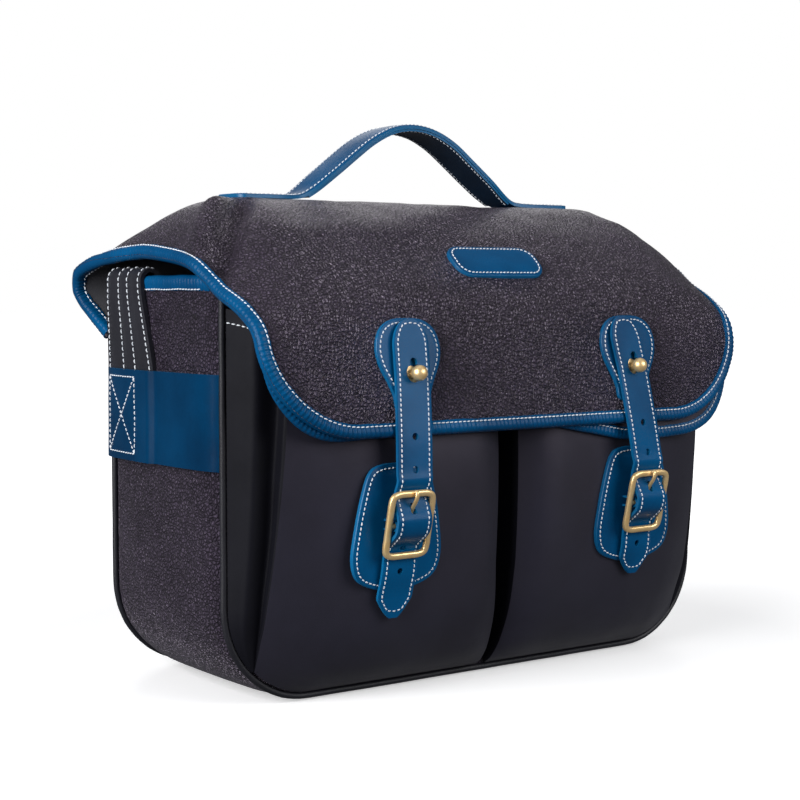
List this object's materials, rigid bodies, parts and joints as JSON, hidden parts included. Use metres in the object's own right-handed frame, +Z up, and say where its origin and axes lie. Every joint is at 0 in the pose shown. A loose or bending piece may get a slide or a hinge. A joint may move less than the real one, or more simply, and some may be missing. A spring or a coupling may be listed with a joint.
{
  "type": "leather satchel",
  "caption": "Flap satchel with bellows pockets, bound edges, top handle and strap-and-buckle closures on ball studs.",
  "frame": {"origin": "middle of the base, on the surface the bag stands on", "axes": "+X to the right seen from the front, -Y is the front with the buckles, +Z up"},
  "size_m": [0.3924, 0.2213, 0.3536],
  "materials": {
    "charcoal_leather": "pebbled, satin",
    "black_leather": "smooth, low sheen",
    "blue_leather": "fine grain, satin, painted edges",
    "dark_blue_lining": "matt",
    "lining_fabric": "matt twill",
    "black_strap": "satin, stitched in rows",
    "brass": "satin brass"
  },
  "bodies": {
    "bag": {"gusset": "charcoal_leather", "front_panel": "charcoal_leather", "back_panel": "charcoal_leather", "front_piping": "black_leather", "back_piping": "black_leather", "lining": "lining_fabric", "flap_yoke": "charcoal_leather", "shoulder_strap": "black_strap", "gusset_binding_left": "blue_leather", "side_band_left": "blue_leather", "pocket_panel_left": "black_leather", "pocket_bellows_left": "black_leather", "buckle_patch_left": "blue_leather", "buckle_loop_left": "blue_leather", "strap_tail_left": "blue_leather", "gusset_binding_right": "blue_leather", "side_band_right": "blue_leather", "pocket_panel_right": "black_leather", "pocket_bellows_right": "black_leather", "buckle_patch_right": "blue_leather", "buckle_loop_right": "blue_leather", "strap_tail_right": "blue_leather"},
    "flap": {"flap_outer": "charcoal_leather", "flap_lining": "lining_fabric", "flap_binding": "blue_leather", "name_patch": "blue_leather", "stud_screws": "brass", "stud_patch_left": "blue_leather", "stud_patch_right": "blue_leather", "stud_left": "brass", "stud_right": "brass", "handle_tab_left": "blue_leather", "handle_tab_right": "blue_leather"},
    "handle": {"handle_strap": "blue_leather", "handle_lining": "dark_blue_lining"},
    "pocket_flap": {"pocket_flap": "black_leather", "pocket_flap_binding": "blue_leather"},
    "strap_left": {"closure_strap_left": "blue_leather"},
    "buckle_left": {"buckle_frame_left": "brass"},
    "prong_left": {"prong_left": "brass"},
    "strap_right": {"closure_strap_right": "blue_leather"},
    "buckle_right": {"buckle_frame_right": "brass"},
    "prong_right": {"prong_right": "brass"}
  },
  "joints": [
    {"name": "flap_hinge", "type": "hinge", "parent": "bag", "child": "flap", "pos_m": [0, 0.088, 0.261], "axis": [-1, 0, 0], "range_deg": [0, 180]},
    {"name": "handle_tilt", "type": "hinge", "parent": "flap", "child": "handle", "pos_m": [0, 0.014, 0.303], "axis": [1, 0, 0], "range_deg": [-60, 60], "stiffness_Nm_per_rad": 0.12},
    {"name": "pocket_flap_hinge", "type": "hinge", "parent": "bag", "child": "pocket_flap", "pos_m": [0, -0.0715, 0.2475], "axis": [-1, 0, 0], "range_deg": [0, 81]},
    {"name": "strap_left_release", "type": "hinge", "parent": "bag", "child": "strap_left", "pos_m": [-0.095, -0.1265, 0.1352], "axis": [1, 0, 0], "range_deg": [0, 95], "stiffness_Nm_per_rad": 0.01, "deforming": ["closure_strap_left", "strap_tail_left"]},
    {"name": "buckle_left_tilt", "type": "hinge", "parent": "bag", "child": "buckle_left", "pos_m": [-0.095, -0.1235, 0.1085], "axis": [1, 0, 0], "range_deg": [-8, 8], "stiffness_Nm_per_rad": 0.01},
    {"name": "prong_left_swing", "type": "hinge", "parent": "buckle_left", "child": "prong_left", "pos_m": [-0.095, -0.1235, 0.1085], "axis": [1, 0, 0], "range_deg": [0, 100]},
    {"name": "strap_right_release", "type": "hinge", "parent": "bag", "child": "strap_right", "pos_m": [0.095, -0.1265, 0.1352], "axis": [1, 0, 0], "range_deg": [0, 95], "stiffness_Nm_per_rad": 0.01, "deforming": ["closure_strap_right", "strap_tail_right"]},
    {"name": "buckle_right_tilt", "type": "hinge", "parent": "bag", "child": "buckle_right", "pos_m": [0.095, -0.1235, 0.1085], "axis": [1, 0, 0], "range_deg": [-8, 8], "stiffness_Nm_per_rad": 0.01},
    {"name": "prong_right_swing", "type": "hinge", "parent": "buckle_right", "child": "prong_right", "pos_m": [0.095, -0.1235, 0.1085], "axis": [1, 0, 0], "range_deg": [0, 100]}
  ],
  "couplings": [
    {"joint": "pocket_flap_hinge", "follows": "flap_hinge", "ratio": 0.45}
  ]
}
